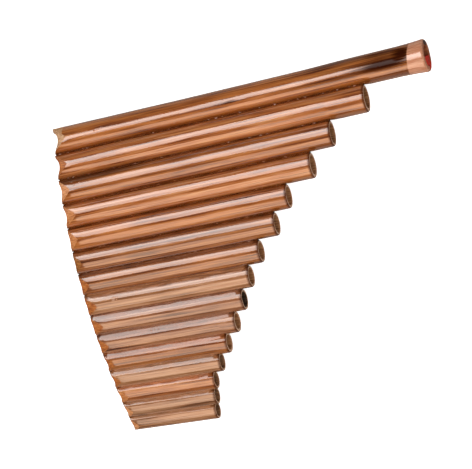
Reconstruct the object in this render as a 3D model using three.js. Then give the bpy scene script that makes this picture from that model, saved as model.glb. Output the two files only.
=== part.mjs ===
// Curved pan flute: bamboo pipes glued side by side along an arc, with a sliding stopper in each bore.
// Millimetres. +X runs along the pipes from mouth to foot, +Y points to the longest pipe, +Z is up.
// The flute lies on its two outermost pipes, with the bowed side up.
// The origin is under the middle of the whole flute, on the surface that it lies on.

import * as THREE from 'three';

// Notes: one pipe for each, in half steps above the lowest
const halfSteps = [0, 2, 4, 5, 7, 9, 11, 12, 14, 16, 17, 19, 21, 23, 24];
const halfStepsPerOctave = 12;
const pipeCount = halfSteps.length;

// Air columns and pipe lengths
const longestQuarterWave = 218.8;
const stopperLength = 5;
const footRecessShares = [
  0.153, 0.086, 0.079, 0.046, 0.044, 0.085, 0.096, 0.061,
  0.104, 0.134, 0.075, 0.080, 0.079, 0.147, 0.143,
];

// Pipe sections, longest and shortest pipe
const longestPipeRadius = 8.4;
const shortestPipeRadius = 5.6;
const longestPipeWall = 2.0;
const shortestPipeWall = 1.4;
const pipeSides = 24;

// Row of pipes
const rowArcRadius = 297.6;
const glueFilm = 0.2;
const restingGap = 0.3;
const pipeGap = glueFilm + 2 * restingGap;

// Mouth bevel, on the bowed side and on the lip side
const longestPipeBevel = 11.5;
const shortestPipeBevel = 5.5;
const longestPipeLipDrop = 5;
const shortestPipeLipDrop = 2.2;
const lipSideBevel = 1.5;
const bevelHalfAngle = THREE.MathUtils.degToRad(75);

// Foot chamfer
const footChamferLength = 1.5;
const footChamferDepth = 0.8;

// Swelling of the longest pipe: growth of its radius at the mouth, before the foot and at the foot
const mouthGrowth = 0.6;
const mouthTaperLength = 90;
const footSwelling = [
  { fromFoot: 75, growth: 0 },
  { fromFoot: 45, growth: 0.5 },
  { fromFoot: 15, growth: 0.65 },
  { fromFoot: 6, growth: 1.05 },
];
const footGrowth = 1.5;

// Glue seams
const seamEndInset = 1.5;
const seamHeightShare = 0.45;
const seamSteps = 4;

// Stopper edges and the wax in the longest pipe's foot
const stopperChamfer = 0.5;
const waxLength = 4;
const waxInset = 0.5;
const waxChordDrop = 1.6;

// Finishes
const finishes = {
  bambooLight: { color: 0xc07a48, roughness: 0.32, metalness: 0 },
  bambooDark: { color: 0x9c5b32, roughness: 0.32, metalness: 0 },
  glue: { color: 0x5a3018, roughness: 0.25, metalness: 0 },
  cork: { color: 0x9a6b42, roughness: 0.85, metalness: 0 },
  wax: { color: 0x9c1a10, roughness: 0.4, metalness: 0 },
};

const firstIndex = 0;
const lastIndex = pipeCount - 1;
const halfSideAngle = Math.PI / pipeSides;

const twoDigits = (index) => String(index + 1).padStart(2, '0');
const finish = (name) => new THREE.MeshStandardMaterial(finishes[name]);

// Radius at both ends, and the rings between them: only the longest pipe swells
function swellingSizes(index, radius, length) {
  if (index !== firstIndex) {
    return { mouthRadius: radius, footRadius: radius, bodyRings: [] };
  }
  const mouthTaperEnd = [radius, mouthTaperLength];
  const swollen = footSwelling.map(({ fromFoot, growth }) => [radius + growth, length - fromFoot]);
  return {
    mouthRadius: radius + mouthGrowth,
    footRadius: radius + footGrowth,
    bodyRings: [mouthTaperEnd, ...swollen],
  };
}

// Sizes of one pipe: sections and bevels fall evenly along the row, lengths follow the notes
function pipeSizes(index) {
  const along = (longest, shortest) => THREE.MathUtils.lerp(longest, shortest, index / lastIndex);
  const radius = along(longestPipeRadius, shortestPipeRadius);
  const bevel = along(longestPipeBevel, shortestPipeBevel);
  const lipDrop = along(longestPipeLipDrop, shortestPipeLipDrop);
  const bore = radius - along(longestPipeWall, shortestPipeWall);
  const quarterWave = longestQuarterWave / 2 ** (halfSteps[index] / halfStepsPerOctave);
  const airColumn = quarterWave - bore;
  const length = airColumn * (1 + footRecessShares[index]) + stopperLength;
  return { index, radius, ...swellingSizes(index, radius, length), bore, bevel, lipDrop, airColumn, length };
}

// Angle of each pipe on the arc, counted from the first pipe, by the chord between neighbours
function arcAngles(pipes) {
  const angles = [0];
  for (let i = 1; i < pipes.length; i += 1) {
    const pitch = pipes[i - 1].radius + pipes[i].radius;
    angles.push(angles[i - 1] + 2 * Math.asin(pitch / (2 * rowArcRadius)));
  }
  return angles;
}

// Height of a pipe's axis above the surface that it lies on
function restHeight(pipe) {
  return pipe.radius * Math.cos(halfSideAngle);
}

// Places the pipe axes on the arc, turned so that both outer pipes rest on the same surface
function layOutRow() {
  const pipes = halfSteps.map((_, index) => pipeSizes(index));
  const first = pipes[firstIndex];
  const last = pipes[lastIndex];
  const reach = (pipe) => pipe.footRadius * Math.cos(halfSideAngle);
  const angles = arcAngles(pipes);
  const halfSpan = angles[lastIndex] / 2;
  const heightStep = restHeight(first) - restHeight(last);
  const turn = Math.asin(heightStep / (2 * rowArcRadius * Math.sin(halfSpan)));
  for (const pipe of pipes) {
    pipe.tilt = halfSpan - angles[pipe.index] - turn;
    pipe.y = rowArcRadius * Math.sin(pipe.tilt);
    pipe.z = rowArcRadius * Math.cos(pipe.tilt);
  }
  const middle = (first.y + reach(first) + last.y - reach(last)) / 2;
  const base = first.z - restHeight(first);
  for (const pipe of pipes) {
    pipe.y -= middle;
    pipe.z -= base;
  }
  return pipes;
}

// Unit direction in the row's cross-section from one pipe axis to another
function direction(from, to) {
  return new THREE.Vector2(to.y - from.y, to.z - from.z).normalize();
}

// Turned solid along +X with its start at zero, from a closed or axis-to-axis profile of (radius, along)
function turnedAlongX(profile) {
  const points = profile.map(([radius, along]) => new THREE.Vector2(radius, along));
  const geometry = new THREE.LatheGeometry(points, pipeSides, halfSideAngle);
  return geometry.rotateZ(-Math.PI / 2);
}

// How far each side of the mouth is cut back: full on the crest, running out towards the grooves
function bevelShare(angleFromCrest) {
  return Math.max(0, Math.cos((angleFromCrest / bevelHalfAngle) * (Math.PI / 2)));
}

// Cuts the mouth rim back on the bowed side, which leaves a thin lip, and a little on the lip side
function bevelMouth(across, pipe, isOuter) {
  const crest = new THREE.Vector2(Math.sin(pipe.tilt), Math.cos(pipe.tilt));
  const angle = Math.acos(THREE.MathUtils.clamp(across.dot(crest) / across.length(), -1, 1));
  const front = isOuter ? pipe.bevel : pipe.lipDrop;
  const back = isOuter ? lipSideBevel : 0;
  return front * bevelShare(angle) + back * bevelShare(Math.PI - angle);
}

// Presses a swollen end level with the rest of the underside, so that the flute lies flat
function flattenUnderside(across, pipe) {
  across.y = Math.max(across.y, -restHeight(pipe));
}

// Presses the outside flat where a neighbour is glued on, and keeps a swelling off that side
function flattenSides(across, pipe, neighbours) {
  for (const neighbour of neighbours) {
    const towards = direction(pipe, neighbour);
    const growth = Math.max(0, across.length() - pipe.radius);
    const share = Math.max(0, across.dot(towards) / across.length());
    across.setLength(across.length() - growth * share);
    const excess = across.dot(towards) - (pipe.radius - pipeGap / 2);
    if (excess > 0) {
      across.addScaledVector(towards, -excess);
    }
  }
}

// Bamboo pipe: turned tube with a foot chamfer, then flattened at its neighbours and bevelled at the mouth.
// A swollen ring past a neighbour's foot stays round on that side.
function pipeGeometry(pipe, neighbours) {
  const mouthInner = [pipe.bore, 0];
  const mouthOuter = [pipe.mouthRadius, 0];
  const chamferStart = [pipe.footRadius, pipe.length - footChamferLength];
  const chamferEnd = [pipe.footRadius - footChamferDepth, pipe.length];
  const footInner = [pipe.bore, pipe.length];
  const foot = [chamferStart, chamferEnd, footInner];
  const profile = [mouthInner, mouthOuter, ...pipe.bodyRings, ...foot, mouthInner];
  const geometry = turnedAlongX(profile);
  const position = geometry.getAttribute('position');
  for (let i = 0; i < position.count; i += 1) {
    const corner = profile[i % profile.length];
    const across = new THREE.Vector2(position.getY(i), position.getZ(i));
    const isMouth = corner === mouthInner || corner === mouthOuter;
    const drop = isMouth ? bevelMouth(across, pipe, corner === mouthOuter) : 0;
    const [ringRadius, along] = corner;
    const beside = neighbours.filter(({ length }) => ringRadius <= pipe.radius || along <= length);
    flattenUnderside(across, pipe);
    flattenSides(across, pipe, beside);
    position.setXYZ(i, position.getX(i) + drop, across.x, across.y);
  }
  return geometry;
}

// Cork stopper: a disc with softened edges, clear of the bore all round
function stopperGeometry(pipe) {
  const radius = pipe.bore - restingGap;
  return turnedAlongX([
    [0, 0],
    [radius - stopperChamfer, 0],
    [radius, stopperChamfer],
    [radius, stopperLength - stopperChamfer],
    [radius - stopperChamfer, stopperLength],
    [0, stopperLength],
  ]);
}

// Half width of the glue between two pipes at a height above or below their line of contact
function seamHalfWidth(pipe, height) {
  const reach = pipe.radius + restingGap;
  return Math.max(glueFilm / 2, pipe.radius - Math.sqrt(reach ** 2 - height ** 2));
}

// Glue seam: a thin film that widens into both grooves, extruded along the shorter pipe
function seamGeometry(longer, shorter) {
  const halfHeight = seamHeightShare * shorter.radius;
  const heights = [];
  for (let step = -seamSteps; step <= seamSteps; step += 1) {
    heights.push((halfHeight * step) / seamSteps);
  }
  const nearLonger = heights.map((height) => new THREE.Vector2(-seamHalfWidth(longer, height), height));
  const nearShorter = heights.map((height) => new THREE.Vector2(seamHalfWidth(shorter, height), height));
  const outline = new THREE.Shape([...nearShorter, ...nearLonger.reverse()]);
  const depth = shorter.length - 2 * seamEndInset;
  return new THREE.ExtrudeGeometry(outline, { depth, bevelEnabled: false });
}

// Red wax on one side of a foot: a slice of the bore's circle below a chord
function waxGeometry(pipe) {
  const radius = pipe.bore * Math.cos(halfSideAngle) - restingGap;
  const chordAngle = Math.acos(waxChordDrop / radius);
  const outline = new THREE.Shape();
  outline.absarc(0, 0, radius, -Math.PI / 2 - chordAngle, -Math.PI / 2 + chordAngle, false);
  outline.closePath();
  return new THREE.ExtrudeGeometry(outline, {
    depth: waxLength,
    bevelEnabled: false,
    curveSegments: pipeSides / 2,
  });
}

// Stands an extruded outline up along +X: the outline's x runs along +Y and its y along +Z
function extrudedAlongX(geometry) {
  return geometry.applyMatrix4(new THREE.Matrix4().makeBasis(
    new THREE.Vector3(0, 1, 0),
    new THREE.Vector3(0, 0, 1),
    new THREE.Vector3(1, 0, 0),
  ));
}

function namedMesh(name, geometry, material) {
  const mesh = new THREE.Mesh(geometry, material);
  mesh.name = name;
  return mesh;
}

function makePipe(pipe, pipes, mouthX) {
  const neighbours = [pipes[pipe.index - 1], pipes[pipe.index + 1]].filter(Boolean);
  const tone = pipe.index % 2 ? 'bambooDark' : 'bambooLight';
  const mesh = namedMesh(`pipe_${twoDigits(pipe.index)}`, pipeGeometry(pipe, neighbours), finish(tone));
  mesh.position.set(mouthX, pipe.y, pipe.z);
  return mesh;
}

function makeStopper(pipe, mouthX) {
  const mesh = namedMesh(`stopper_${twoDigits(pipe.index)}`, stopperGeometry(pipe), finish('cork'));
  mesh.position.set(mouthX + pipe.airColumn, pipe.y, pipe.z);
  return mesh;
}

// The seam's outline is centred on the line of contact and turned to the line between the two axes
function makeSeam(longer, shorter, mouthX) {
  const name = `glue_seam_${twoDigits(longer.index)}_${twoDigits(shorter.index)}`;
  const towards = direction(longer, shorter);
  const mesh = namedMesh(name, extrudedAlongX(seamGeometry(longer, shorter)), finish('glue'));
  mesh.rotation.x = Math.atan2(towards.y, towards.x);
  mesh.position.set(
    mouthX + seamEndInset,
    longer.y + towards.x * longer.radius,
    longer.z + towards.y * longer.radius,
  );
  return mesh;
}

// The wax lies on the side of the bore that faces the shorter pipes
function makeFootWax(pipe, mouthX) {
  const name = `foot_wax_${twoDigits(pipe.index)}`;
  const mesh = namedMesh(name, extrudedAlongX(waxGeometry(pipe)), finish('wax'));
  mesh.rotation.x = -Math.PI / 2;
  mesh.position.set(mouthX + pipe.length - waxInset - waxLength, pipe.y, pipe.z);
  return mesh;
}

const panFlute = new THREE.Group();
const pipes = layOutRow();
const mouthX = -pipes[firstIndex].length / 2;

for (const pipe of pipes) {
  panFlute.add(makePipe(pipe, pipes, mouthX));
  panFlute.add(makeStopper(pipe, mouthX));
}
for (let i = 1; i < pipeCount; i += 1) {
  panFlute.add(makeSeam(pipes[i - 1], pipes[i], mouthX));
}
panFlute.add(makeFootWax(pipes[firstIndex], mouthX));

export default panFlute;
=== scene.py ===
"""Looks of a curved pan flute: lacquered bamboo pipes, glue seams, cork stoppers and red foot wax."""
import logging
import math
from collections.abc import Callable, Sequence
from dataclasses import dataclass, field
from enum import Enum
from functools import partial
from random import Random

import bmesh
import bpy
from mathutils import Matrix, Vector, noise


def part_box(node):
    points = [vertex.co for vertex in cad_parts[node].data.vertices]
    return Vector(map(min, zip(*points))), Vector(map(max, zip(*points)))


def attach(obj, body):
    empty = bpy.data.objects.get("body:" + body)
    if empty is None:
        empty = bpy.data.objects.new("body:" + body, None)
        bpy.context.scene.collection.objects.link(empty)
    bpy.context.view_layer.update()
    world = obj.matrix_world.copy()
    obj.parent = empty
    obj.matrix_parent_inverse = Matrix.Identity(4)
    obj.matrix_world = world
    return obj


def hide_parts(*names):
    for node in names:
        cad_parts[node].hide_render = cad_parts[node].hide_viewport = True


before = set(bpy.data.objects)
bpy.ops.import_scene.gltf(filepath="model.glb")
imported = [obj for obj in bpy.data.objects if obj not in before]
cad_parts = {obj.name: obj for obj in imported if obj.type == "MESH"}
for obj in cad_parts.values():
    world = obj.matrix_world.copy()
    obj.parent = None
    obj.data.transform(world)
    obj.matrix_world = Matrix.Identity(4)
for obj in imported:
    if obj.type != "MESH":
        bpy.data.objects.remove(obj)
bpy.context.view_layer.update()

MM = 0.001
ROOT_BODY = "pipes"
CAD_SIDES = 24
CAD_GAP = 0.3 * MM
PIPE_COUNT = 15
WALLS = (2.0 * MM, 1.4 * MM)
NOISE_RANGE = (0.3, 0.7)
NOISE_ROUGHNESS = 0.6
STREAK_STOPS = (0.34, 0.62)
SURFACE_IOR = 1.5
LACQUER_IOR = 1.6
MIX_COLOURS = {"data_type": "RGBA", "blend_type": "MIX"}
MULTIPLY_ADD = {"operation": "MULTIPLY_ADD"}

log = logging.getLogger("pan_flute")

Place = Callable[[float], Vector]
Linear = tuple[float, float, float, float]
Pair = tuple[float, float]
Triple = tuple[float, float, float]
Tree = bpy.types.NodeTree
Socket = bpy.types.NodeSocket
Material = bpy.types.Material
BMesh = bmesh.types.BMesh


def linear(hex_colour: str, shade: float = 1.0) -> Linear:
    """Turns an sRGB hex colour to a linear one.

    Args:
        hex_colour: Six hex digits, as in "a0653d".
        shade: Factor on the linear values, 1 to leave them.

    Returns:
        Red, green, blue and an alpha of 1.
    """
    channels = []
    for start in (0, 2, 4):
        value = int(hex_colour[start:start + 2], 16) / 255
        value = value / 12.92 if value <= 0.04045 else ((value + 0.055) / 1.055) ** 2.4
        channels.append(min(value * shade, 1.0))
    return (channels[0], channels[1], channels[2], 1.0)


def falling(ends: Pair, index: int) -> float:
    """A size that falls evenly from the longest pipe, number 0, to the shortest."""
    return ends[0] + (ends[1] - ends[0]) * index / (PIPE_COUNT - 1)


def add_node(
    tree: Tree,
    kind: str,
    settings: dict[str, object] | None = None,
    inputs: dict[str | int, object] | Sequence[object] = (),
    stops: Sequence[tuple[float, Linear]] = (),
) -> bpy.types.Node:
    """Adds a shader node with its settings, values and links.

    Args:
        tree: Node tree of the material or world.
        kind: Blender's name of the node type, less the word ShaderNode in front.
        settings: Properties of the node itself.
        inputs: Socket name or number to a value, or to another node's output to link. A sequence is
            for the first sockets in order.
        stops: Positions and colours of a colour ramp.

    Returns:
        The new node.
    """
    node = tree.nodes.new(f"ShaderNode{kind}")
    for name, value in (settings or {}).items():
        setattr(node, name, value)
    for socket, value in inputs.items() if isinstance(inputs, dict) else enumerate(inputs):
        if isinstance(value, bpy.types.NodeSocket):
            tree.links.new(value, node.inputs[socket])
        else:
            node.inputs[socket].default_value = value
    for index, (position, colour) in enumerate(stops):
        elements = node.color_ramp.elements
        element = elements[index] if index < 2 else elements.new(position)
        element.position = position
        element.color = colour
    return node


def new_material(name: str) -> tuple[Material, Tree]:
    """Makes a material with an empty node tree.

    Args:
        name: The material's name.

    Returns:
        The material and its node tree.
    """
    material = bpy.data.materials.new(name)
    material.use_nodes = True
    material.node_tree.nodes.clear()
    return material, material.node_tree


@dataclass(frozen=True)
class Grain:
    """Streaks of a pattern: usual length and width, in metres, and octaves of the noise."""

    length: float
    width: float
    detail: float = 4.0

    def draw(self, tree: Tree, place: Socket, shift: Sequence[float] = (0.0, 0.0, 0.0)) -> Socket:
        """Adds noise drawn out along the pipes, from 0 to 1, taken at a place shifted in the noise."""
        stretched = add_node(tree, "Mapping", None, {
            "Vector": place, "Location": shift, "Scale": (1 / self.length, 1 / self.width, 1 / self.width),
        })
        return add_node(tree, "TexNoise", None, {
            "Vector": stretched.outputs[0], "Scale": 1.0, "Detail": self.detail, "Roughness": NOISE_ROUGHNESS,
        }).outputs[0]


class Stain(Enum):
    """Brown stain under the lacquer: dark fibre, main colour and light fibre."""

    HONEY = ("743610", "ae6028", "c8824a")
    AMBER = ("642e10", "9e541e", "be7234")
    CHESTNUT = ("4c220e", "884a20", "ae6a34")
    RUSSET = ("562a16", "8c5230", "b0764c")
    TAN = ("6e4022", "a66a3e", "c28c64")


class Bore(Enum):
    """Inside of a pipe: dark and light streaks of its wall, raw, browned by stain or flame, or plainly
    darker.
    """

    RAW = ("885430", "c08c60")
    STAINED = ("8c4c2c", "c07c50")
    # Darker wall for the small pipes' bores, which look dark; this tone has no known cause such as smoke
    SMOKED = ("6c4630", "a47854")
    SCORCHED = ("2c1e16", "5c4636")


class RimMark(Enum):
    """What marks a stretch of a foot's rim, with the number of its material on the pipe."""

    WAXED = 4
    SCORCHED = 5


class Facet(Enum):
    """Sanded facet of a mouth: dark and light cut fibres."""

    GOLD = ("9a5426", "d48c54")
    SAND = ("ac7a50", "dcac82")
    PALE = ("b06c40", "e09c68")
    OLIVE = ("6c3c14", "ac6c34")
    RUST = ("84401a", "c07438")


@dataclass(frozen=True)
class Smear:
    """Dark patch where the stain or the bending flame marked one pipe.

    Sizes are in millimetres: the place along the pipe from its mouth, the offset across it from the
    crest towards the longest pipe, the half length and half width, and a strength up to 1.
    """

    along: float
    across: float
    half_length: float
    half_width: float
    strength: float


@dataclass(frozen=True)
class Drop:
    """Dried drop of lacquer or glue on one pipe.

    Its place is in millimetres from the mouth and in degrees from the crest towards the longest pipe,
    its size in millimetres along the pipe and across it.
    """

    along: float
    turn: float
    length: float
    width: float


@dataclass
class Layers:
    """What a bamboo shader has so far, in the pipe's own axes: fibre noise, colour and lacquer."""

    tree: Tree
    own: Socket
    along: Socket
    across: Socket
    streak: Socket
    colour: Socket
    gloss: Socket | float = 1.0

    def lay(self, share: Socket, over: Socket | Linear, thinning: float = 0.0) -> None:
        """Lays a colour over the one so far, as far as the share says, and thins the lacquer there."""
        self.colour = add_node(self.tree, "Mix", MIX_COLOURS, {0: share, 6: self.colour, 7: over}).outputs[2]
        if thinning:
            self.gloss = add_node(self.tree, "Math", MULTIPLY_ADD, (share, -thinning, self.gloss)).outputs[0]

    def stain(
        self, value: Socket, span: Pair, depth: float, over: Linear, fray: float = 0.0, thinning: float = 0.0,
    ) -> None:
        """Lays a darker colour on where a value goes through a range: stain, and in the grooves painted shade
        with it.

        Args:
            value: The value, such as a distance.
            span: Where the stain starts and where it is at its deepest.
            depth: How much of the stain shows there.
            over: Its colour.
            fray: How far the fibres shift the value, for a ragged edge.
            thinning: How much of the lacquer it takes away.
        """
        ragged = add_node(self.tree, "Math", MULTIPLY_ADD, (self.streak, fray, value)).outputs[0]
        smooth = {"interpolation_type": "SMOOTHSTEP"}
        share = add_node(self.tree, "MapRange", smooth, (ragged, *span, 0.0, depth)).outputs[0]
        self.lay(share, over, thinning)


@dataclass(frozen=True)
class LacqueredBamboo:
    """Bamboo culm wall, stained brown and brushed with glossy lacquer.

    The eye sees fine streaks along the pipe, stain gathered at the foot, a dark band along the grooves
    that is partly gathered stain and partly painted shade, and a clear gloss that long ripples of the
    wall break into wavering stripes. Real fibres are about 0.3 mm wide, under half a pixel here, so the
    streaks are drawn 1 mm and the dark fibres 0.7 mm wide. Ranges of the noise, and shares of the
    radius, are without a unit.
    """

    place: "PipePlace"
    look: "PipeLook"
    tilt: float
    seed_step: float = 3.1
    seed_shares: Triple = (1.0, 1.7, 0.6)
    fibres: Grain = Grain(50 * MM, 1.0 * MM, 5.0)
    patches: Grain = Grain(45 * MM, 5 * MM, 2.0)
    patch_share: float = 0.4
    tone_stops: Triple = (0.38, 0.47, 0.60)
    dark_fibres: Grain = Grain(45 * MM, 0.7 * MM, 2.0)
    dark_fibre_range: Pair = (0.54, 0.68)
    dark_fibre_depth: float = 0.55
    groove_shares: Pair = (0.88, 1.12)
    groove_fray_share: float = 0.25
    groove_depth: float = 0.5
    foot_stain: Pair = (-0.2 * MM, 1.2 * MM)
    foot_fray: float = 1.5 * MM
    foot_depth: float = 0.75
    foot_thinning: float = 0.8
    smear_reach: Pair = (1.6, 0.8)
    smear_fray: float = 1.0
    smear_thinning: float = 0.9
    edge_half: float = 0.3 * MM
    pale_slant: float = 0.17
    pale_stops: Triple = (0.3, 0.45, 0.65)
    bare_side: Pair = (0.0, 1.0 * MM)
    fibre_roughness: Pair = (0.10, 0.22)
    fibre_specular: float = 0.5
    lacquer_roughness: float = 0.05
    ripples: Grain = Grain(30 * MM, 2.4 * MM, 1.0)
    ripple_strength: float = 0.35
    ripple_relief: float = 0.25 * MM
    fibre_relief_share: float = 0.25

    def build(self) -> Material:
        """Makes the material in the pipe's own axes: along it, across it and out of its crest.

        Returns:
            The material.
        """
        look = self.look
        material, tree = new_material(f"lacquered_bamboo_{self.place.number:02d}")
        own = add_node(tree, "Mapping", {"vector_type": "TEXTURE"}, {
            "Vector": add_node(tree, "TexCoord").outputs["Object"],
            "Location": (self.place.mouth, *self.place.axis),
            "Rotation": (-self.tilt, 0.0, 0.0),
        }).outputs[0]
        along, across, _ = add_node(tree, "SeparateXYZ", None, (own,)).outputs
        streak = self._draw(self.fibres, tree, own)
        patch = self._draw(self.patches, tree, own)
        layers = Layers(tree, own, along, across, streak, self._stain(tree, streak, patch))
        self._add_dark_fibres(layers)
        self._darken_grooves_stain_and_shade(layers)
        if not look.pale_foot:
            self._darken_foot(layers)
        for smear in look.smears:
            self._add_smear(layers, smear)
        if look.pale_foot:
            self._add_pale_foot(layers)
        if look.bare_mouth:
            self._add_bare_mouth(layers)
        roughness = add_node(tree, "MapRange", None, (patch, *NOISE_RANGE, *self.fibre_roughness))
        specular = add_node(tree, "Math", {"operation": "MULTIPLY"}, (layers.gloss, self.fibre_specular))
        bump = self._ripple(layers)
        shader = add_node(tree, "BsdfPrincipled", None, {
            "Base Color": layers.colour,
            "Roughness": roughness.outputs[0],
            "IOR": SURFACE_IOR,
            "Specular IOR Level": specular.outputs[0],
            "Coat Weight": layers.gloss,
            "Coat Roughness": self.lacquer_roughness,
            "Coat IOR": LACQUER_IOR,
            "Normal": bump,
            "Coat Normal": bump,
        })
        add_node(tree, "OutputMaterial", None, {"Surface": shader.outputs[0]})
        return material

    def _draw(self, grain: Grain, tree: Tree, own: Socket) -> Socket:
        """A pattern that differs from pipe to pipe."""
        seed = self.seed_step * self.place.number
        return grain.draw(tree, own, [seed * share for share in self.seed_shares])

    def _stain(self, tree: Tree, streak: Socket, patch: Socket) -> Socket:
        """Stain taken up by the fibres, in patches.

        Args:
            tree: The material's nodes.
            streak: The fibres' noise.
            patch: The patches' noise.

        Returns:
            The colour.
        """
        blend = add_node(tree, "Mix", {"data_type": "FLOAT"}, {0: self.patch_share, 2: streak, 3: patch})
        colours = (linear(colour, self.look.shade) for colour in self.look.tone.value)
        dark, main, light = zip(self.tone_stops, colours)
        return add_node(tree, "ValToRGB", None, (blend.outputs[0],), (dark, light, main)).outputs[0]

    def _add_dark_fibres(self, layers: Layers) -> None:
        """Sparse thin fibres that took up more stain."""
        fibre = self._draw(self.dark_fibres, layers.tree, layers.own)
        layers.stain(fibre, self.dark_fibre_range, self.dark_fibre_depth, linear("4e240c", self.look.shade))

    def _darken_grooves_stain_and_shade(self, layers: Layers) -> None:
        """Darkens the sides next to the glued grooves, with a ragged edge: partly stain and lacquer gathered
        there, partly painted shade.

        Args:
            layers: The shader so far.
        """
        radius = self.place.radius
        start, end = (share * radius for share in self.groove_shares)
        offset = add_node(layers.tree, "Math", {"operation": "ABSOLUTE"}, (layers.across,)).outputs[0]
        # 461c0a is stain gathered in the grooves together with painted shade between the pipes
        colour = linear("461c0a", self.look.shade)
        layers.stain(offset, (start, end), self.groove_depth, colour, self.groove_fray_share * radius)

    def _darken_foot(self, layers: Layers) -> None:
        """Stain soaked into the foot's rounded edge, under thinner lacquer.

        Args:
            layers: The shader so far.
        """
        start, end = (self.place.length + spot for spot in self.foot_stain)
        colour = linear("4a200c")
        layers.stain(layers.along, (start, end), self.foot_depth, colour, self.foot_fray, self.foot_thinning)

    def _add_smear(self, layers: Layers, smear: Smear) -> None:
        """One dark patch with a streaky edge and a duller lacquer.

        Args:
            layers: The shader so far.
            smear: The patch's place, size and strength.
        """
        tree = layers.tree
        flat = add_node(tree, "VectorMath", {"operation": "MULTIPLY"}, (layers.own, (1.0, 1.0, 0.0)))
        place = add_node(tree, "Mapping", {"vector_type": "TEXTURE"}, {
            "Vector": flat.outputs[0],
            "Location": (smear.along * MM, smear.across * MM, 0.0),
            "Scale": (smear.half_length * MM, smear.half_width * MM, 1.0),
        })
        reach = add_node(tree, "VectorMath", {"operation": "LENGTH"}, (place.outputs[0],)).outputs["Value"]
        colour = linear("381407")
        layers.stain(reach, self.smear_reach, smear.strength, colour, self.smear_fray, self.smear_thinning)

    def _add_pale_foot(self, layers: Layers) -> None:
        """Pale stretch past the last node of the culm, with a sharp slanting start and full lacquer.

        Args:
            layers: The shader so far.
        """
        tree = layers.tree
        start = self.place.length - self.look.pale_foot
        slanted = add_node(tree, "Math", MULTIPLY_ADD, (layers.across, -self.pale_slant, layers.along))
        ends = (start - self.edge_half, start + self.edge_half)
        edge = add_node(tree, "MapRange", None, (slanted.outputs[0], *ends)).outputs[0]
        low, middle, high = self.pale_stops
        fibres = add_node(tree, "ValToRGB", None, (layers.streak,), (
            (low, linear("b0683f")), (high, linear("e2a682")), (middle, linear("cf8560")),
        ))
        layers.lay(edge, fibres.outputs[0])
        layers.gloss = add_node(tree, "Math", {"operation": "MAXIMUM"}, (layers.gloss, edge)).outputs[0]

    def _add_bare_mouth(self, layers: Layers) -> None:
        """Stretch at the mouth that was sanded bare on the side away from the other pipes.

        Args:
            layers: The shader so far.
        """
        tree = layers.tree
        ends = (self.look.bare_mouth + self.edge_half, self.look.bare_mouth - self.edge_half)
        near = add_node(tree, "MapRange", None, (layers.along, *ends)).outputs[0]
        bare = add_node(tree, "MapRange", None, (layers.across, *self.bare_side, 0.0, near)).outputs[0]
        fibres = add_node(tree, "ValToRGB", None, (layers.streak,), streak_stops(Facet.SAND.value))
        layers.lay(bare, fibres.outputs[0], 1.0)

    def _ripple(self, layers: Layers) -> Socket:
        """Long ripples of the wall with fine fibres on them.

        Args:
            layers: The shader so far.

        Returns:
            The bumped normal.
        """
        tree = layers.tree
        ripple = self._draw(self.ripples, tree, layers.own)
        height = add_node(tree, "Math", MULTIPLY_ADD, (layers.streak, self.fibre_relief_share, ripple))
        return add_node(tree, "Bump", None, {
            "Strength": self.ripple_strength,
            "Distance": self.ripple_relief,
            "Height": height.outputs[0],
        }).outputs[0]


def streak_stops(tones: Sequence[str]) -> list[tuple[float, Linear]]:
    """Ramp from the dark streaks of a finish to its light ones."""
    return [(stop, linear(tone)) for stop, tone in zip(STREAK_STOPS, tones)]


@dataclass(frozen=True)
class StreakedSurface:
    """Plain finish with streaks or specks: raw bamboo, end grain, bore wall, glue, cork or wax.

    A coat above zero is lacquer or a wet gloss on top.
    """

    name: str
    tones: Sequence[str]
    grain: Grain
    roughness: Pair
    coat: float = 0.0
    specular: float = 0.5
    bump: float = 0.3
    relief: float = 0.2 * MM
    coat_roughness: float = 0.06

    def build(self) -> Material:
        """Makes the material on Object coordinates.

        Returns:
            The material.
        """
        material, tree = new_material(self.name)
        place = add_node(tree, "TexCoord").outputs["Object"]
        pattern = self.grain.draw(tree, place)
        colour = add_node(tree, "ValToRGB", None, (pattern,), streak_stops(self.tones))
        bump = add_node(tree, "Bump", None, {
            "Strength": self.bump, "Distance": self.relief, "Height": pattern,
        })
        roughness = add_node(tree, "MapRange", None, (pattern, *NOISE_RANGE, *self.roughness))
        shader = add_node(tree, "BsdfPrincipled", None, {
            "Base Color": colour.outputs[0],
            "Roughness": roughness.outputs[0],
            "IOR": SURFACE_IOR,
            "Specular IOR Level": self.specular,
            "Coat Weight": self.coat,
            "Coat Roughness": self.coat_roughness,
            "Coat IOR": LACQUER_IOR,
            "Normal": bump.outputs[0],
        })
        add_node(tree, "OutputMaterial", None, {"Surface": shader.outputs[0]})
        return material


# Sawn end of the culm: pale dots of fibre bundles in matt pith. Real bundles are about 0.3 mm wide, so
# they are drawn nearly twice as coarse. The second tone is warmer, for the foot left unstained.
END_GRAIN = StreakedSurface(
    "cut_bamboo_end_grain", ("c08c68", "ecc4a4"), Grain(0.6 * MM, 0.5 * MM), (0.5, 0.7), specular=0.2,
)
PALE_END_GRAIN = StreakedSurface(
    "pale_cut_bamboo_end_grain", ("a85c3c", "d08c68"), Grain(0.6 * MM, 0.5 * MM), (0.5, 0.7), specular=0.1,
)
# Pressed cork: dull brown with darker specks of bark about as wide as the real 0.8 mm granules
CORK = StreakedSurface(
    "agglomerated_cork", ("5c3a20", "b58a5c"), Grain(0.8 * MM, 0.8 * MM), (0.8, 0.95), bump=0.6,
)
# Sealing wax: strong even red with a soft dull surface and slow swirls of its pigment
WAX = StreakedSurface(
    "red_sealing_wax", ("b81606", "e83010"), Grain(2 * MM, 1.5 * MM), (0.45, 0.6), specular=0.1,
)
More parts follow.
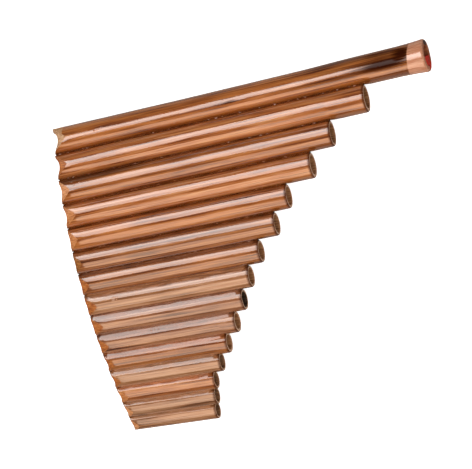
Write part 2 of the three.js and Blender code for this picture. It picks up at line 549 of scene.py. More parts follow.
# Glue under lacquer: stained like the pipes and as glossy, with slow flow marks along the groove
GLUE_GRAIN = Grain(14 * MM, 1.2 * MM)
# Sanded facet: bare fibres cut at a slant, satin and without lacquer, 0.7 mm wide so that they show
FACET_GRAIN = Grain(9 * MM, 0.7 * MM)
# Bore wall: raw inner fibres, dull, 0.9 mm wide so that they show
BORE_GRAIN = Grain(12 * MM, 0.9 * MM)


@dataclass(frozen=True)
class RingStep:
    """One ring of a lofted skin: where each angle lies, and the finish of the strip before it."""

    place: Place
    finish: int = 0


def loft(bm: BMesh, steps: Sequence[RingStep], segments: int, closing_finish: int | None) -> None:
    """Draws a skin through rings by extruding one circle's edges from ring to ring.

    Args:
        bm: The mesh to build in, empty at the start.
        steps: The rings in order.
        segments: Vertices in each ring.
        closing_finish: Finish of a strip that joins the last ring to the first, or None for end caps.
    """
    angle = bm.verts.layers.float.new("angle")
    circle = bmesh.ops.create_circle(bm, cap_ends=False, radius=1.0, segments=segments)
    for vert in circle["verts"]:
        vert[angle] = math.atan2(vert.co.y, vert.co.x)
        vert.co = steps[0].place(vert[angle])
    first_edges = list(bm.edges)
    edges = first_edges
    for step in steps[1:]:
        result = bmesh.ops.extrude_edge_only(bm, edges=edges)["geom"]
        verts = {item for item in result if isinstance(item, bmesh.types.BMVert)}
        edges = [
            item for item in result if isinstance(item, bmesh.types.BMEdge) and verts.issuperset(item.verts)
        ]
        for vert in verts:
            vert.co = step.place(vert[angle])
        for face in (item for item in result if isinstance(item, bmesh.types.BMFace)):
            face.material_index = step.finish
    if closing_finish is None:
        bmesh.ops.contextual_create(bm, geom=first_edges)
        bmesh.ops.contextual_create(bm, geom=edges)
    else:
        bridge = bmesh.ops.bridge_loops(bm, edges=first_edges + edges)
        for face in bridge["faces"]:
            face.material_index = closing_finish
    bm.verts.layers.float.remove(angle)
    bmesh.ops.recalc_face_normals(bm, faces=bm.faces)


def add_object(name: str, data: bpy.types.ID) -> bpy.types.Object:
    """Puts a mesh, lamp or camera in the scene.

    Args:
        name: Its name.
        data: The mesh, lamp or camera.

    Returns:
        The new object.
    """
    item = bpy.data.objects.new(name, data)
    bpy.context.scene.collection.objects.link(item)
    return item


def aim(item: bpy.types.Object, place: Vector, axes: Sequence[Vector]) -> None:
    """Places a camera or lamp, with its own three axes given. It looks against the third."""
    item.matrix_world = Matrix.Translation(place) @ Matrix(axes).transposed().to_4x4()


def add_cylinder(bm: BMesh, axis: Pair, ends: Pair, radius: float, segments: int) -> None:
    """Adds a closed cylinder along the pipes, between two places on an axis given across and up."""
    middle = Matrix.Translation(Vector((sum(ends) / 2, *axis)))
    bmesh.ops.create_cone(
        bm, cap_ends=True, segments=segments, radius1=radius, radius2=radius, depth=ends[1] - ends[0],
        matrix=middle @ Matrix.Rotation(math.pi / 2, 4, "Y"),
    )


def ease_edges(bm: BMesh, edges: Sequence[bmesh.types.BMEdge], width: float) -> None:
    """Rounds edges off with three strips."""
    bmesh.ops.bevel(
        bm, geom=edges, offset=width, segments=3, profile=0.5, affect="EDGES", material=-1,
    )


def finish_piece(
    bm: BMesh, name: str, body: str, materials: Sequence[Material],
    replaced: Sequence[str], sharp_degrees: float = 35.0,
) -> bpy.types.Object:
    """Turns a mesh into a piece of the object that rides on a body and stands for CAD nodes.

    Args:
        bm: The finished mesh, which is freed.
        name: The piece's name.
        body: The CAD body that it moves with.
        materials: Its materials, in the order of the faces' material numbers.
        replaced: The CAD nodes that it stands for.
        sharp_degrees: Edges steeper than this stay sharp.

    Returns:
        The new object.
    """
    mesh = bpy.data.meshes.new(name)
    bm.to_mesh(mesh)
    bm.free()
    mesh.polygons.foreach_set("use_smooth", [True] * len(mesh.polygons))
    mesh.set_sharp_from_angle(angle=math.radians(sharp_degrees))
    for material in materials:
        mesh.materials.append(material)
    piece = add_object(name, mesh)
    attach(piece, body)
    if replaced:
        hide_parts(*replaced)
    log.info("piece %s: %d faces, on %s", name, len(mesh.polygons), body)
    return piece


@dataclass(frozen=True)
class PipePlace:
    """Where the CAD has one pipe, in metres."""

    number: int
    mouth: float
    foot: float
    axis: Pair
    radius: float
    bore: float
    stopper: Pair

    @classmethod
    def read(cls, number: int) -> "PipePlace":
        """Reads a pipe's place from its CAD box and from its stopper's, which shares its axis.

        Args:
            number: The pipe's number, 1 for the longest.

        Returns:
            The place.
        """
        low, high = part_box(f"pipe_{number:02d}")
        stopper_low, stopper_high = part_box(f"stopper_{number:02d}")
        stopper_radius = (stopper_high.z - stopper_low.z) / 2 / math.cos(math.pi / CAD_SIDES)
        return cls(
            number=number,
            mouth=low.x,
            foot=high.x,
            axis=((stopper_low.y + stopper_high.y) / 2, (stopper_low.z + stopper_high.z) / 2),
            radius=(stopper_radius + CAD_GAP + falling(WALLS, number - 1)) * math.cos(math.pi / CAD_SIDES),
            bore=(stopper_radius + CAD_GAP) * math.cos(math.pi / CAD_SIDES),
            stopper=(stopper_low.x, stopper_high.x),
        )

    @property
    def length(self) -> float:
        """Length from mouth to foot."""
        return self.foot - self.mouth


@dataclass
class PipeRow:
    """All pipes side by side on their arc, as the CAD places them."""

    count: int = PIPE_COUNT
    places: list[PipePlace] = field(default_factory=list)
    centre: Vector = field(default_factory=Vector)

    def __post_init__(self) -> None:
        """Reads the pipes and works out the arc's centre."""
        self.places = [PipePlace.read(number) for number in range(1, self.count + 1)]
        middle = self.places[self.count // 2]
        self.centre = self._arc_centre(self.places[0].axis, middle.axis, self.places[-1].axis)

    @staticmethod
    def _arc_centre(a: Pair, b: Pair, c: Pair) -> Vector:
        """Centre of the circle through three points.

        Args:
            a: First point, across and up.
            b: Second point.
            c: Third point.

        Returns:
            The centre, across and up.
        """
        ab, ac = Vector(b) - Vector(a), Vector(c) - Vector(a)
        twice_area = 2 * (ab.x * ac.y - ab.y * ac.x)
        across = (ac.y * ab.length_squared - ab.y * ac.length_squared) / twice_area
        up = (ab.x * ac.length_squared - ac.x * ab.length_squared) / twice_area
        return Vector(a) + Vector((across, up))

    def tilt(self, place: PipePlace) -> float:
        """Angle of a pipe's crest from straight up, towards the longest pipe."""
        outward = Vector(place.axis) - self.centre
        return math.atan2(outward.x, outward.y)


@dataclass(frozen=True)
class PipeLook:
    """What sets one pipe apart from the next: its cut mouth, its stain, its marks, bore and swelling.

    The mouth is, in millimetres, how far its bevel starts down the crest, how far its lip drops there,
    and how far the whole front of it is cut back. The swelling is a list of places along the pipe, as
    millimetres from the mouth and, below zero, from the foot, each with the growth of its radius there.
    The slant is how much longer the pipe is on its crest than underneath, and the pale foot and the bare
    mouth are how far they reach from their end, all three in metres. A rim mark runs from one angle to
    another, in degrees from the crest towards the longest pipe.
    """

    mouth: Triple
    tone: Stain
    facet: Facet
    shade: float = 1.0
    smears: tuple[Smear, ...] = ()
    pale_foot: float = 0.0
    bore: Bore = Bore.RAW
    swelling: tuple[Pair, ...] = ()
    foot_slant: float = 1.0 * MM
    drops: tuple[Drop, ...] = ()
    rim_marks: tuple[tuple[float, float, RimMark], ...] = ()
    bare_mouth: float = 0.0


PIPE_LOOKS = (
    PipeLook((12.9, 5.2, 1.0), Stain.AMBER, Facet.SAND, 1.05, (
        Smear(226, -1.6, 25, 4.5, 1.0), Smear(237, 2.2, 8, 4.0, 1.0), Smear(228, 5.0, 20, 5.0, 0.6),
        Smear(200, 5.5, 45, 3.0, 0.5), Smear(192, -3.4, 45, 1.6, 0.45), Smear(200, 1.0, 30, 1.5, 0.4),
        Smear(128, -2.2, 5, 1.2, 0.6),
    ), pale_foot=9.6 * MM, bore=Bore.STAINED, foot_slant=0.0, swelling=(
        (0, 0.6), (30, 0.4), (90, 0), (-75, 0), (-60, 0.25), (-45, 0.5), (-15, 0.65), (-6, 1.05),
        (-1.5, 1.45),
    ), drops=(Drop(36, 2, 3.0, 2.0), Drop(39, 6, 2.0, 1.2), Drop(34, -3, 1.5, 1.0)), rim_marks=(
        (-160, -112, RimMark.WAXED), (55, 105, RimMark.SCORCHED),
    ), bare_mouth=10.5 * MM),
    PipeLook((11.3, 4.8, 0.2), Stain.HONEY, Facet.RUST, 1.05, swelling=((-30, 0), (-18, 0.5))),
    PipeLook((10.4, 3.7, 0.0), Stain.AMBER, Facet.PALE, 1.0, (Smear(30, 6.0, 60, 3.0, 0.8),),
             drops=(Drop(14, 20, 2.5, 1.2), Drop(17.5, 24, 1.8, 1.0), Drop(12, 35, 1.5, 1.0))),
    PipeLook((11.5, 3.8, 0.0), Stain.HONEY, Facet.GOLD, 1.03, swelling=((-30, 0), (-15, 0.4))),
    PipeLook((9.1, 2.7, 0.0), Stain.AMBER, Facet.GOLD, 1.02),
    PipeLook((7.5, 2.4, 0.0), Stain.CHESTNUT, Facet.OLIVE, 1.05),
    PipeLook((9.0, 2.6, 0.0), Stain.CHESTNUT, Facet.RUST, 1.12),
    PipeLook((10.0, 2.4, 0.0), Stain.TAN, Facet.RUST, 1.0, drops=(
        Drop(25, 25, 1.8, 2.4), Drop(23, 33, 3.0, 0.8), Drop(22.5, 18, 3.0, 0.8),
    )),
    PipeLook((10.0, 2.2, 0.0), Stain.RUSSET, Facet.RUST, 1.05, bore=Bore.SCORCHED),
    PipeLook((9.1, 2.4, 0.0), Stain.RUSSET, Facet.RUST, 1.1, swelling=((-14, 0), (-6, 0.45)), drops=(
        Drop(19, 62, 1.5, 1.5), Drop(21, 66, 1.2, 1.0), Drop(41, 50, 1.2, 1.0), Drop(43.5, 52, 1.0, 0.8),
        Drop(46, 50, 1.2, 0.9),
    )),
    PipeLook((7.8, 3.0, 0.0), Stain.AMBER, Facet.RUST, 0.9, swelling=((-12, 0), (-5, 0.45))),
    PipeLook((8.2, 2.9, 0.0), Stain.TAN, Facet.RUST, 0.96, bore=Bore.SMOKED),
    PipeLook((9.1, 2.8, 0.0), Stain.HONEY, Facet.GOLD, 0.98, bore=Bore.SMOKED),
    PipeLook((7.3, 2.6, 0.0), Stain.TAN, Facet.PALE, 0.9, (Smear(12, -3.5, 5, 1.2, 0.6),),
             bore=Bore.SMOKED),
    PipeLook((7.0, 2.3, 0.0), Stain.TAN, Facet.PALE, 1.0, (Smear(30, -3.0, 5, 1.0, 0.7),),
             bore=Bore.SMOKED),
)


# How far each seam's front fillet climbs the longer and the shorter pipe, in degrees from the line of
# contact. The fillets near the short pipes are wide, and mirror the long lamp like the pipes' sides.
SEAM_CLIMBS = (
    (8, 18), (8, 18), (8, 20), (8, 24), (12, 36), (16, 40), (20, 48),
    (23, 47), (23, 47), (22, 44), (20, 48), (20, 43), (18, 38), (16, 32),
)


@dataclass
class Pipe:
    """One bamboo pipe: a round, slightly uneven tube, bevelled at the mouth and eased at the foot."""

    place: PipePlace
    look: PipeLook
    neighbours: tuple[PipePlace, ...]
    tilt: float
    lip_side_bevel: float = 1.5 * MM
    bevel_half_angle: float = math.radians(78)
    bevel_curve: float = 1.35
    lip_curve: float = 2.1
    lip_ease: float = 0.35 * MM
    foot_ease: Pair = (1.3 * MM, 0.4)
    rim_ease: float = 0.15 * MM
    set_back_curve: float = 0.3
    bore_shares: tuple[float, ...] = (0.97, 0.8, 0.6, 0.4, 0.2, 0.0)
    ease_steps: int = 4
    unevenness: float = 0.012
    uneven_length: float = 40 * MM
    uneven_turn: float = 0.6
    uneven_shift: float = 7
    segments: int = 96
    station_step: float = 5 * MM
    drop_height: float = 0.35 * MM
    lowest: float = 0.02 * MM

    OUTSIDE, BEVEL, RIM, BORE = range(4)

    def _point(self, along: float, angle: float, radius: float) -> Vector:
        """A point of the pipe.

        Args:
            along: Distance from the mouth.
            angle: Angle from the crest, towards the longest pipe.
            radius: Distance from the axis.

        Returns:
            The point in the frame.
        """
        across, up = self.place.axis
        turned = self.tilt + angle
        return Vector((
            self.place.mouth + along,
            across + radius * math.sin(turned),
            max(up + radius * math.cos(turned), self.lowest),
        ))

    def _front_share(self, angle: float, curve: float) -> float:
        """How far the mouth is cut back at an angle: 1 on the crest, 0 at the grooves."""
        share = abs(math.sin(angle)) / math.sin(self.bevel_half_angle)
        return 1 - share ** curve if abs(angle) < self.bevel_half_angle else 0.0

    def _set_back(self, angle: float) -> float:
        """How far the front of the mouth is cut back as a whole, run out by the grooves."""
        return self.look.mouth[2] * MM * max(0.0, math.cos(angle)) ** self.set_back_curve

    def _mouth_edge(self, angle: float) -> float:
        """Distance of the bevel's outer edge from the mouth plane."""
        front = self.look.mouth[0] * MM * self._front_share(angle, self.bevel_curve)
        return max(front, self._lip(angle)) + max(0.0, -math.cos(angle)) * self.lip_side_bevel

    def _lip(self, angle: float) -> float:
        """Distance of the lip's edge from the mouth plane."""
        return self.look.mouth[1] * MM * self._front_share(angle, self.lip_curve) + self._set_back(angle)

    def _growth(self, along: float, angle: float) -> float:
        """Growth of the radius where the pipe swells, kept off the sides of the neighbours beside it.

        Args:
            along: Distance from the mouth.
            angle: Angle from the crest.

        Returns:
            The growth.
        """
        marks = [
            (spot * MM if spot >= 0 else self.place.length + spot * MM, growth * MM)
            for spot, growth in self.look.swelling
        ]
        growth = 0.0
        for (start, low), (end, high) in zip(marks, marks[1:]):
            if start <= along <= end:
                growth = low + (high - low) * (along - start) / (end - start)
        if marks and along > marks[-1][0]:
            growth = marks[-1][1]
        outward = Vector((math.sin(self.tilt + angle), math.cos(self.tilt + angle)))
        for neighbour in self.neighbours:
            if along <= neighbour.length:
                towards = (Vector(neighbour.axis) - Vector(self.place.axis)).normalized()
                growth *= 1 - max(0.0, outward.dot(towards))
        return growth

    def _outer_radius(self, along: float, angle: float) -> float:
        """Radius of the uneven outside, which passes the CAD's only where the pipe swells.

        Args:
            along: Distance from the mouth.
            angle: Angle from the crest.

        Returns:
            The radius.
        """
        spot = Vector((
            along / self.uneven_length,
            math.cos(angle) * self.uneven_turn,
            math.sin(angle) * self.uneven_turn + self.uneven_shift * self.place.number,
        ))
        uneven = self.place.radius * (1 - self.unevenness * (0.5 + 0.5 * noise.noise(spot)))
        return uneven + self._growth(along, angle)

    def _foot_edge(self, angle: float, radius: float) -> float:
        """Distance of the slanting foot plane from the mouth plane."""
        share = (1 + math.cos(angle) * radius / self.place.radius) / 2
        return self.place.length + self.look.foot_slant * share

    def _outside(self, share: float, angle: float) -> Vector:
        """A point on the outside.

        Args:
            share: Share of the way from the bevel's edge to the foot's rounding.
            angle: Angle from the crest.

        Returns:
            The point in the frame.
        """
        start = self._mouth_edge(angle)
        end = self._foot_edge(angle, self.place.radius) - self.foot_ease[0]
        along = start + (end - start) * share
        return self._point(along, angle, self._outer_radius(along, angle))

    def _rounded_foot(self, turn: float, angle: float) -> Vector:
        """A point on the rounded outer edge of the foot.

        Args:
            turn: Angle round the edge, from 0 on the outside to a quarter turn on the rim.
            angle: Angle from the crest.

        Returns:
            The point in the frame.
        """
        reach, share = self.foot_ease
        along = self._foot_edge(angle, self.place.radius) - reach * (1 - math.sin(turn))
        inset = (self.place.radius - self.place.bore) * share * (1 - math.cos(turn))
        return self._point(along, angle, self._outer_radius(along, angle) - inset)

    def _foot_rim(self, back: float, radius: float, angle: float) -> Vector:
        """A point on the foot plane, or a little back from it."""
        return self._point(self._foot_edge(angle, radius) - back, angle, radius)

    def _inside(self, share: float, angle: float) -> Vector:
        """A point on the bore's wall.

        Args:
            share: Share of the way from the lip to the foot.
            angle: Angle from the crest.

        Returns:
            The point in the frame.
        """
        start = self._lip(angle)
        end = self._foot_edge(angle, self.place.bore) - self.rim_ease
        return self._point(start + (end - start) * share, angle, self.place.bore)

    def _rings(self) -> list[RingStep]:
        """Rings of the whole skin, from the mouth along the outside and back through the bore.

        Returns:
            The rings in order.
        """
        bore = self.place.bore
        stations = round(self.place.length / self.station_step)
        turns = [step / self.ease_steps * math.pi / 2 for step in range(1, self.ease_steps + 1)]
        return [
            RingStep(partial(self._outside, 0.0)),
            *(RingStep(partial(self._outside, step / stations)) for step in range(1, stations + 1)),
            *(RingStep(partial(self._rounded_foot, turn)) for turn in turns),
            RingStep(partial(self._foot_rim, 0.0, bore + self.rim_ease), self.RIM),
            RingStep(partial(self._foot_rim, self.rim_ease, bore), self.RIM),
            *(RingStep(partial(self._inside, share), self.BORE) for share in self.bore_shares),
            RingStep(lambda angle: self._point(self._lip(angle), angle, bore + self.lip_ease), self.RIM),
        ]

    def _add_drop(self, bm: BMesh, drop: Drop) -> None:
        """Sets a flat drop on the outside.

        Args:
            bm: The pipe's mesh.
            drop: The drop's place and size.
        """
        along, turn = drop.along * MM, math.radians(drop.turn)
        spot = self._point(along, turn, self._outer_radius(along, turn))
        matrix = (
            Matrix.Translation(spot)
            @ Matrix.Rotation(-(self.tilt + turn), 4, "X")
            @ Matrix.Diagonal((drop.length / 2 * MM, drop.width / 2 * MM, self.drop_height, 1.0))
        )
        bmesh.ops.create_icosphere(bm, subdivisions=3, radius=1.0, matrix=matrix)

    def _mark_rim(self, bm: BMesh) -> None:
        """Gives the marked stretches of the foot's rim their own finish.

        Args:
            bm: The pipe's mesh.
        """
        across, up = self.place.axis
        for face in bm.faces:
            middle = face.calc_center_median()
            if face.material_index != self.RIM or middle.x < self.place.foot - self.foot_ease[0]:
                continue
            angle = math.degrees(math.atan2(middle.y - across, middle.z - up) - self.tilt)
            for start, end, mark in self.look.rim_marks:
                if start <= angle <= end:
                    face.material_index = mark.value

    def build(self, materials: Sequence[Material]) -> bpy.types.Object:
        """Builds the pipe as one closed skin, with any drops on it.

        Args:
            materials: Outside, bevel, rim and bore, then those of the rim marks if it has any.

        Returns:
            The pipe's object.
        """
        bm = bmesh.new()
        loft(bm, self._rings(), self.segments, self.BEVEL)
        self._mark_rim(bm)
        for drop in self.look.drops:
            self._add_drop(bm, drop)
        name = f"pipe_{self.place.number:02d}"
        return finish_piece(bm, f"{name}_bamboo", ROOT_BODY, materials, [name])


@dataclass
class GlueSeam:
    """Glue between two pipes: a film that widens into both grooves, lacquered over on the bowed side.

    The climbs are how far the front fillet reaches up the longer and the shorter pipe, as degrees round
    each from their line of contact. The first bead comes at most the longest lead, in millimetres, after
    the fillet has its full width.
    """

    longer: PipePlace
    shorter: PipePlace
    seed: int
    climbs: Pair
    end_inset: float = 0.2 * MM
    end_tapers: Pair = (3 * MM, 3 * MM)
    taper_share: float = 0.25
    back_climb: float = 16.0
    overlap: float = 0.06 * MM
    film: float = 0.04 * MM
    sag_share: float = 0.01
    wander: float = 0.05
    wander_length: float = 9 * MM
    sharp_degrees: float = 60.0
    side_points: int = 5
    front_points: int = 7
    station_step: float = 1.5 * MM
    bead_step: float = 9 * MM
    bead_size: float = 0.4 * MM
    bead_scales: Pair = (0.5, 1.1)
    bead_stretches: Pair = (1.2, 3.0)
    bead_gap_scales: Pair = (0.3, 1.7)
    bead_shift: float = 0.1 * MM
    longest_lead: float = 4.0

    def _side(self, place: PipePlace, direction: int, climb: float) -> Pair:
        """A point on one pipe's side, just under its surface.

        Args:
            place: The pipe.
            direction: 1 towards the shorter pipe's side of the seam, -1 towards the longer's.
            climb: Degrees round the pipe from the line of contact, below zero on the hollow side.

        Returns:
            Distance across from the line of contact, and height over it.
        """
        pitch = (Vector(self.longer.axis) - Vector(self.shorter.axis)).length
        centre = pitch * place.radius / (self.longer.radius + self.shorter.radius)
        turn = math.radians(climb)
        across = max(self.film, centre - place.radius * math.cos(turn) + self.overlap)
        return direction * across, place.radius * math.sin(turn)

    def _outline(self, long_climb: float, short_climb: float) -> list[Pair]:
        """Section of the seam as points across and up, in turning order.

        Args:
            long_climb: Degrees that the fillet climbs the longer pipe.
            short_climb: Degrees that it climbs the shorter one.

        Returns:
            The points.
        """
        shares = [step / self.side_points for step in range(self.side_points + 1)]
        fall = short_climb + self.back_climb
        rise = long_climb + self.back_climb
        down = [self._side(self.shorter, 1, short_climb - fall * share) for share in shares]
        up = [self._side(self.longer, -1, rise * share - self.back_climb) for share in shares]
        start, end = Vector(up[-1]), Vector(down[0])
        chord = end - start
        inward = Vector((chord.y, -chord.x)) * self.sag_share
        front = []
        for step in range(1, self.front_points + 1):
            share = step / (self.front_points + 1)
            spot = start + chord * share + inward * 4 * share * (1 - share)
            front.append((spot.x, spot.y))
        return [*down, *up, *front]

    def _end_share(self, along: float, start: float, end: float) -> float:
        """Share of the full climb at a place: the fillet thins out at both ends of the seam."""
        share = min(1.0, (along - start) / self.end_tapers[0], (end - along) / self.end_tapers[1])
        return self.taper_share + (1 - self.taper_share) * share * share * (3 - 2 * share)

    def build(self, material: Material) -> bpy.types.Object:
        """Builds the seam with small beads of squeezed-out glue on it.

        Args:
            material: The glue.

        Returns:
            The seam's object.
        """
        towards = (Vector(self.shorter.axis) - Vector(self.longer.axis)).normalized()
        upward = Vector((-towards.y, towards.x)) if towards.x > 0 else Vector((towards.y, -towards.x))
        share = self.longer.radius / (self.longer.radius + self.shorter.radius)
        middle = Vector(self.longer.axis).lerp(Vector(self.shorter.axis), share)
        start = self.shorter.mouth + self.end_inset
        end = self.shorter.foot - self.end_inset
        stations = round((end - start) / self.station_step)
        points = len(self._outline(*self.climbs))

        def ring(station: int) -> Place:
            """One section of the seam.

            Args:
                station: Its number from the mouth.

            Returns:
                Where each angle of the lofted circle lies.
            """
            along = start + (end - start) * station / stations
            full = self._end_share(along, start, end)
            spots = [Vector((along / self.wander_length, self.seed, side)) for side in (0, 1)]
            outline = self._outline(*(
                climb * full * (1 + self.wander * noise.noise(spot))
                for climb, spot in zip(self.climbs, spots)
            ))

            def place(angle: float) -> Vector:
                """The section's point for an angle.

                Args:
                    angle: Angle round the lofted circle.

                Returns:
                    The point in the frame.
                """
                across, up = outline[round(angle / (2 * math.pi) * points) % points]
                flat = middle + towards * across + upward * up
                return Vector((along, flat.x, flat.y))

            return place

        bm = bmesh.new()
        loft(bm, [RingStep(ring(station)) for station in range(stations + 1)], points, None)
        self._add_beads(bm, middle, towards, upward, (start, end))
        name = f"glue_seam_{self.longer.number:02d}_{self.shorter.number:02d}"
        return finish_piece(bm, f"{name}_glue", ROOT_BODY, [material], [name], self.sharp_degrees)

    def _add_beads(self, bm: BMesh, middle: Vector, towards: Vector, upward: Vector, span: Pair) -> None:
        """Adds squeezed-out beads along the edge where the fillet meets the longer pipe.

        Args:
            bm: The seam's mesh.
            middle: The line of contact, across and up.
            towards: Direction to the shorter pipe.
            upward: Direction out of the bowed side.
            span: Start and end of the seam along the pipes.
        """
        random = Random(self.seed)
        across, up = self._side(self.longer, -1, self.climbs[0])
        flat = middle + towards * (across + self.bead_shift) + upward * up
        along = span[0] + self.end_tapers[0] + random.uniform(0, self.longest_lead) * MM
        while along < span[1] - self.end_tapers[1]:
            size = self.bead_size * random.uniform(*self.bead_scales)
            matrix = Matrix.Translation(Vector((along, flat.x, flat.y))) @ Matrix.Diagonal(
                (size * random.uniform(*self.bead_stretches), size, size, 1.0),
            )
            bmesh.ops.create_icosphere(bm, subdivisions=2, radius=1.0, matrix=matrix)
            along += self.bead_step * random.uniform(*self.bead_gap_scales)


@dataclass
class Stopper:
    """Cork disc that closes a pipe and slides in it."""

    place: PipePlace
    clearance: float = 0.3 * MM
    edge: float = 0.5 * MM
    segments: int = 64

    def build(self, material: Material) -> bpy.types.Object:
        """Builds the disc with rounded edges.

        Args:
            material: The cork.

        Returns:
            The stopper's object.
        """
        place = self.place
        bm = bmesh.new()
        add_cylinder(bm, place.axis, place.stopper, place.bore - self.clearance, self.segments)
        rims = [edge for edge in bm.edges if any(len(face.verts) > 4 for face in edge.link_faces)]
        ease_edges(bm, rims, self.edge)
        name = f"stopper_{place.number:02d}"
        return finish_piece(bm, f"{name}_cork", name, [material], [name])


@dataclass
class FootWax:
    """Red wax run into the side of the longest pipe's foot that faces the shorter pipes."""

    place: PipePlace
    node: str = "foot_wax_01"
    clearance: float = 0.1 * MM
    edge: float = 0.2 * MM
    rise: float = 1.2 * MM
    reach: float = 0.4 * MM
    flat_normal: float = 0.99
    sharp_degrees: float = 50.0
    segments: int = 64

    def build(self, material: Material) -> bpy.types.Object:
        """Builds the wax as a slice of the bore, cut by a plane and eased at its edges.

        Args:
            material: The wax.

        Returns:
            The wax's object.
        """
        low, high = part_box(self.node)
        ends = (low.x, high.x + self.reach)
        bm = bmesh.new()
        add_cylinder(bm, self.place.axis, ends, self.place.bore - self.clearance, self.segments)
        cut = bmesh.ops.bisect_plane(
            bm, geom=[*bm.verts, *bm.edges, *bm.faces], plane_co=(0.0, high.y + self.rise, 0.0),
            plane_no=(0.0, 1.0, 0.0), clear_outer=True,
        )
        rim = [item for item in cut["geom_cut"] if isinstance(item, bmesh.types.BMEdge)]
        bmesh.ops.contextual_create(bm, geom=rim)
        flats = [face for face in bm.faces if len(face.verts) > 4 or abs(face.normal.y) > self.flat_normal]
        ease_edges(bm, list({edge for face in flats for edge in face.edges}), self.edge)
        bmesh.ops.recalc_face_normals(bm, faces=bm.faces)
        name = f"{self.node}_wax"
        return finish_piece(bm, name, ROOT_BODY, [material], [self.node], self.sharp_degrees)


class LampUse(Enum):
    """What a lamp is for: even shading of the colours, or the bright stripes in the lacquer."""

    SHADING = (True, False)
    GLOSS = (False, True)


@dataclass(frozen=True)
class SoftBox:
    """Large soft lamp, placed in millimetres and aimed at a point.

    The shares set how bright it is from its lower to its upper edge, in strips of equal height.
    """

    name: str
    place: Triple
    aim: Triple
    size: Pair
    radiance: float
    use: LampUse
    colour: str = "ffffff"
    shares: tuple[float, ...] = (1.0,)

    def build(self) -> None:
        """Adds the lamp's strips, which the camera doesn't see."""
        place = Vector(self.place) * MM
        away = (place - Vector(self.aim) * MM).normalized()
        along = (Vector((1.0, 0.0, 0.0)) - away * away.x).normalized()
        downward = away.cross(along)
        height = self.size[1] * MM / len(self.shares)
        for number, share in enumerate(self.shares):
            light = bpy.data.lights.new(f"{self.name}_{number}", "AREA")
            light.shape = "RECTANGLE"
            light.size = self.size[0] * MM
            light.size_y = height
            light.energy = self.radiance * share * math.pi * light.size * light.size_y
            light.color = linear(self.colour)[:3]
            lamp = add_object(light.name, light)
            drop = ((len(self.shares) - 1) / 2 - number) * height
            aim(lamp, place + downward * drop, (along, downward, away))
            lamp.visible_camera = False
            lamp.visible_diffuse, lamp.visible_glossy = self.use.value


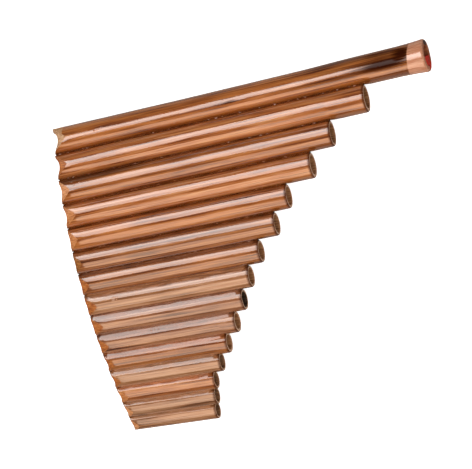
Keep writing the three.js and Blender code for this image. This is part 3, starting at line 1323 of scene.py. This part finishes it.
@dataclass
class Studio:
    """Camera at the photograph's angle, pale floor, soft lamps and an even pale surrounding."""

    camera_place: Triple = (303.5, 131.1, 787.9)
    camera_aim: Triple = (-15.3, 13.8, 15.0)
    camera_up: Triple = (0.1774, 0.9595, -0.2188)
    focal_share: float = 1364.4 / 472
    sensor: float = 36.0
    floor_size: float = 6.0
    floor_gap: float = 0.2 * MM
    surrounding: float = 0.1
    seen_floor: float = 0.9
    lamps: tuple[SoftBox, ...] = (
        SoftBox("overhead_lamp", (0, 0, 500), (0, 0, 0), (700, 700), 2.4, LampUse.SHADING),
        SoftBox("long_side_lamp", (-90, 112, 131), (-90, 13, 115), (410, 150), 5.2, LampUse.GLOSS, "fffaf6",
                (0.9, 1.0, 0.85, 0.72, 0.66, 0.68, 0.75, 0.85)),
        SoftBox("short_side_lamp", (-55, -100, 142.5), (-55, -78, 45), (340, 205), 2.4, LampUse.GLOSS,
                "ffe3c9"),
        SoftBox("foot_lamp", (420, 20, 130), (60, 20, 15), (220, 200), 0.5, LampUse.GLOSS, "ffe0c8"),
    )

    def build(self) -> None:
        """Builds the camera, the floor, the lamps and the world."""
        self._camera()
        self._floor()
        for lamp in self.lamps:
            lamp.build()
        self._world()

    def _camera(self) -> None:
        """Camera with the photograph's perspective."""
        camera = bpy.data.cameras.new("photo_camera")
        camera.sensor_width = self.sensor
        camera.lens = self.focal_share * self.sensor
        camera.clip_start = 0.01
        holder = add_object("photo_camera", camera)
        place = Vector(self.camera_place) * MM
        backward = (place - Vector(self.camera_aim) * MM).normalized()
        rightward = Vector(self.camera_up).cross(backward).normalized()
        aim(holder, place, (rightward, backward.cross(rightward), backward))
        bpy.context.scene.camera = holder

    def _floor(self) -> None:
        """Pale floor that keeps the flute's shadow and shows white to the camera."""
        bm = bmesh.new()
        bmesh.ops.create_grid(bm, x_segments=1, y_segments=1, size=self.floor_size / 2)
        bmesh.ops.translate(bm, verts=bm.verts, vec=(0.0, 0.0, -self.floor_gap))
        mesh = bpy.data.meshes.new("floor")
        bm.to_mesh(mesh)
        bm.free()
        floor = add_object("floor", mesh)
        # Matt white paper: takes the flute's soft shadow. The lacquer mirrors it in a darker tone, so
        # that the pipes' sides keep their brown, and the camera sees it with a glow that whitens it.
        material, tree = new_material("matt_white_paper")
        path = add_node(tree, "LightPath").outputs
        shade = add_node(tree, "Mix", MIX_COLOURS, {
            0: path["Is Glossy Ray"], 6: linear("f6f6f6"), 7: linear("b09c90"),
        })
        rays = (path["Is Camera Ray"], path["Is Transmission Ray"])
        direct = add_node(tree, "Math", {"operation": "MAXIMUM"}, rays).outputs[0]
        seen = add_node(tree, "Math", {"operation": "MULTIPLY"}, (direct, self.seen_floor)).outputs[0]
        paper = add_node(tree, "BsdfDiffuse", None, {"Color": shade.outputs[2]})
        glow = add_node(tree, "Emission", None, {"Color": linear("ffffff"), "Strength": seen})
        both = add_node(tree, "AddShader", None, (paper.outputs[0], glow.outputs[0]))
        add_node(tree, "OutputMaterial", None, {"Surface": both.outputs[0]})
        mesh.materials.append(material)

    def _world(self) -> None:
        """Even pale surrounding, white where the camera sees it."""
        world = bpy.data.worlds.new("pale_surrounding")
        bpy.context.scene.world = world
        world.use_nodes = True
        tree = world.node_tree
        tree.nodes.clear()
        camera = add_node(tree, "LightPath").outputs["Is Camera Ray"]
        strength = add_node(tree, "MapRange", None, (camera, 0.0, 1.0, self.surrounding, 1.0)).outputs[0]
        sky = add_node(tree, "Background", None, {"Color": linear("ffffff"), "Strength": strength})
        add_node(tree, "OutputWorld", None, {"Surface": sky.outputs[0]})


@dataclass
class PanFlute:
    """The whole flute, built piece by piece from the CAD's places."""

    row: PipeRow = field(default_factory=PipeRow)

    def build(self) -> None:
        """Builds every piece."""
        wax = WAX.build()
        self._build_pipes(wax)
        self._build_seams()
        cork = CORK.build()
        for place in self.row.places:
            Stopper(place).build(cork)
        FootWax(self.row.places[0]).build(wax)

    @staticmethod
    def _surfaces(
        tones: type[Enum], kind: str, grain: Grain, roughness: Pair, coat: float = 0.0, specular: float = 0.5,
    ) -> dict[Enum, Material]:
        """Makes a plain finish in each of its tones."""
        return {
            tone: StreakedSurface(
                f"{tone.name.lower()}_{kind}", tone.value[:2], grain, roughness, coat, specular,
            ).build()
            for tone in tones
        }

    def _build_seams(self) -> None:
        """Builds the seams, each stained like the shorter of its two pipes."""
        glues = self._surfaces(Stain, "stained_glue", GLUE_GRAIN, (0.15, 0.35), coat=1.0)
        for index, climbs in enumerate(SEAM_CLIMBS, start=1):
            longer, shorter = self.row.places[index - 1:index + 1]
            GlueSeam(longer, shorter, index, climbs).build(glues[PIPE_LOOKS[index].tone])

    def _build_pipes(self, wax: Material) -> None:
        """Builds the pipes, each in its own stain.

        Args:
            wax: The wax, for a pipe that has some on its rim.
        """
        facets = self._surfaces(Facet, "sanded_bamboo", FACET_GRAIN, (0.35, 0.5), specular=0.25)
        bores = self._surfaces(Bore, "bore_wall", BORE_GRAIN, (0.45, 0.7), specular=0.3)
        rim = END_GRAIN.build()
        pale_rim = PALE_END_GRAIN.build()
        places = self.row.places
        for index, (place, look) in enumerate(zip(places, PIPE_LOOKS, strict=True)):
            tilt = self.row.tilt(place)
            lacquer = LacqueredBamboo(place, look, tilt).build()
            neighbours = tuple(places[max(0, index - 1):index] + places[index + 1:index + 2])
            cut = pale_rim if look.pale_foot else rim
            marks = [wax, bores[Bore.SCORCHED]] if look.rim_marks else []
            Pipe(place, look, neighbours, tilt).build(
                [lacquer, facets[look.facet], cut, bores[look.bore], *marks],
            )


def write_sizes() -> None:
    """Updates the view layer."""
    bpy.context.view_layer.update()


def main() -> None:
    """Builds the studio and the flute."""
    logging.basicConfig(level=logging.INFO, format="%(name)s: %(message)s")
    bpy.context.scene.view_settings.view_transform = "Standard"
    Studio().build()
    PanFlute().build()
    write_sizes()


if __name__ == "__main__":
    main()
